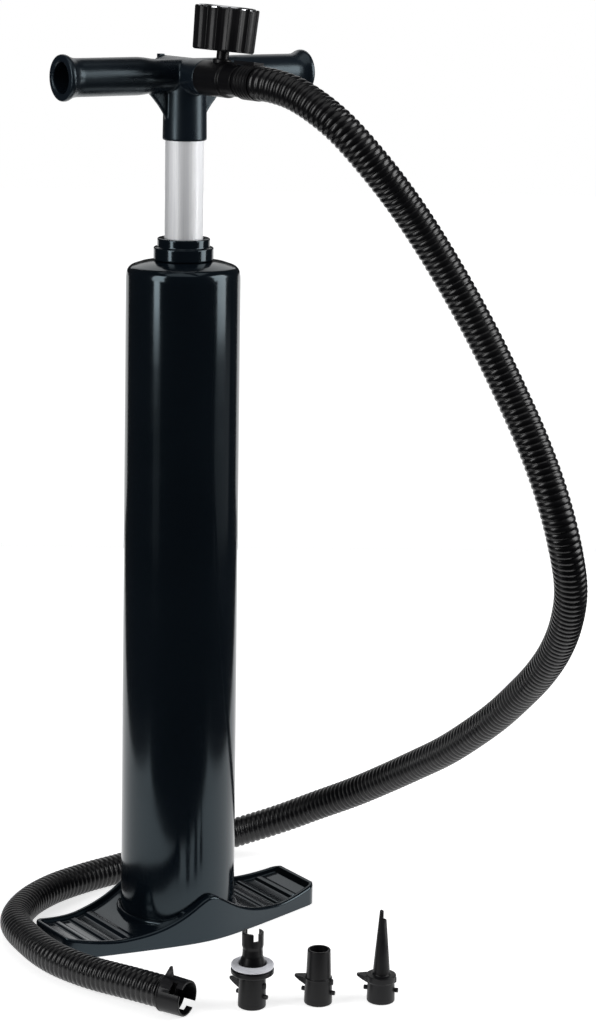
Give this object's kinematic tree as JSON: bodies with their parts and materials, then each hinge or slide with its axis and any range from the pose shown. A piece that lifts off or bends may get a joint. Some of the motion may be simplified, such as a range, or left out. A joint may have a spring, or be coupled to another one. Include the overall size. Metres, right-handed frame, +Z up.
{
  "type": "stirrup air pump",
  "caption": "Hand-operated double-action air pump held down by the feet: finned foot plate, upright barrel, T-handle with pressure gauge, ribbed hose and bayonet nozzles.",
  "frame": {"origin": "on the barrel axis at floor level, on the flat under side of the foot plate", "axes": "+Z up the barrel, +X along the handle and the foot plate, -Y the way the air outlet and the hose leave the handle"},
  "size_m": [0.3474, 0.3845, 0.6835],
  "materials": {
    "plastic_navy": "glossy injection-moulded plastic",
    "plastic_black": "satin black plastic",
    "hose_black": "ribbed flexible hose",
    "rubber_black": "matt seal rubber",
    "aluminium_tube": "drawn and brushed along the tube",
    "steel_bright": "plated steel",
    "brass_plain": "machined brass",
    "plastic_white": "plain white plastic",
    "plastic_grey": "soft light grey washer",
    "lens_clear": "clear polished lens",
    "needle_red": "painted pointer"
  },
  "bodies": {
    "pump_body": {"foot_plate": "plastic_navy", "barrel": "plastic_navy", "base_plug": "plastic_black", "base_o_ring": "rubber_black", "foot_screw_1": "steel_bright", "foot_screw_2": "steel_bright", "foot_screw_3": "steel_bright", "foot_screw_4": "steel_bright", "inlet_valve_pin": "plastic_black", "gland_nut": "plastic_navy", "rod_seal": "rubber_black", "seal_retainer": "plastic_black", "rod_guide_bush": "plastic_white", "top_valve_carrier": "plastic_black", "bump_stop": "rubber_black", "hose_tube": "hose_black", "hose_connector": "plastic_black"},
    "plunger": {"rod_tube": "aluminium_tube", "rod_plug": "plastic_black", "piston_lower_plate": "plastic_black", "piston_upper_plate": "plastic_black", "piston_seal_lower": "rubber_black", "piston_seal_upper": "rubber_black", "piston_spacer": "plastic_black", "piston_bolt": "steel_bright", "handle": "plastic_navy", "handle_screw": "steel_bright"},
    "outlet": {"outlet_tee": "plastic_black", "outlet_o_ring": "rubber_black", "hose_cuff": "plastic_black", "gauge_case": "plastic_black", "gauge_stem": "brass_plain", "gauge_capsule": "brass_plain", "gauge_dial": "plastic_white", "gauge_lens": "lens_clear", "gauge_bezel": "steel_bright"},
    "needle": {"gauge_needle": "needle_red"},
    "rear_cap": {"rear_port_cap": "plastic_navy", "rear_cap_o_ring": "rubber_black"},
    "inlet_valve": {"inlet_valve_disc": "rubber_black"},
    "top_valve": {"top_valve_ring": "rubber_black"},
    "lower_piston_valve": {"piston_valve_lower": "rubber_black"},
    "upper_piston_valve": {"piston_valve_upper": "rubber_black"},
    "wide_nozzle": {"nozzle_wide": "plastic_black", "nozzle_washer": "plastic_grey"},
    "plain_nozzle": {"nozzle_plain": "plastic_black"},
    "needle_nozzle": {"nozzle_needle": "plastic_black"}
  },
  "joints": [
    {"name": "pump_stroke", "type": "slide", "parent": "pump_body", "child": "plunger", "axis": [0, 0, 1], "range_m": [-0.0675, 0.35], "deforming": ["hose_tube"]},
    {"name": "outlet_swivel", "type": "hinge", "parent": "plunger", "child": "outlet", "pos_m": [0, -0.045, 0.632], "axis": [0, 1, 0], "range_deg": [-96, 84]},
    {"name": "gauge_pointer", "type": "hinge", "parent": "outlet", "child": "needle", "pos_m": [0.0046, -0.045, 0.67576], "axis": [0.1045, 0, 0.9945], "range_deg": [-270, 0], "stiffness_Nm_per_rad": 0.0002},
    {"name": "rear_cap_pull", "type": "slide", "parent": "plunger", "child": "rear_cap", "axis": [0, 1, 0], "range_m": [0, 0.03]},
    {"name": "inlet_valve_lift", "type": "slide", "parent": "pump_body", "child": "inlet_valve", "axis": [0, 0, 1], "range_m": [0, 0.0015]},
    {"name": "top_valve_lift", "type": "slide", "parent": "pump_body", "child": "top_valve", "axis": [0, 0, 1], "range_m": [0, 0.003]},
    {"name": "lower_piston_valve_lift", "type": "slide", "parent": "plunger", "child": "lower_piston_valve", "axis": [0, 0, 1], "range_m": [0, 0.0035]},
    {"name": "upper_piston_valve_lift", "type": "slide", "parent": "plunger", "child": "upper_piston_valve", "axis": [0, 0, 1], "range_m": [0, 0.0045]},
    {"name": "wide_nozzle_lift", "type": "slide", "parent": "pump_body", "child": "wide_nozzle", "axis": [0, 0, 1], "range_m": [0, 0.15]},
    {"name": "plain_nozzle_lift", "type": "slide", "parent": "pump_body", "child": "plain_nozzle", "axis": [0, 0, 1], "range_m": [0, 0.15]},
    {"name": "needle_nozzle_lift", "type": "slide", "parent": "pump_body", "child": "needle_nozzle", "axis": [0, 0, 1], "range_m": [0, 0.15]}
  ]
}
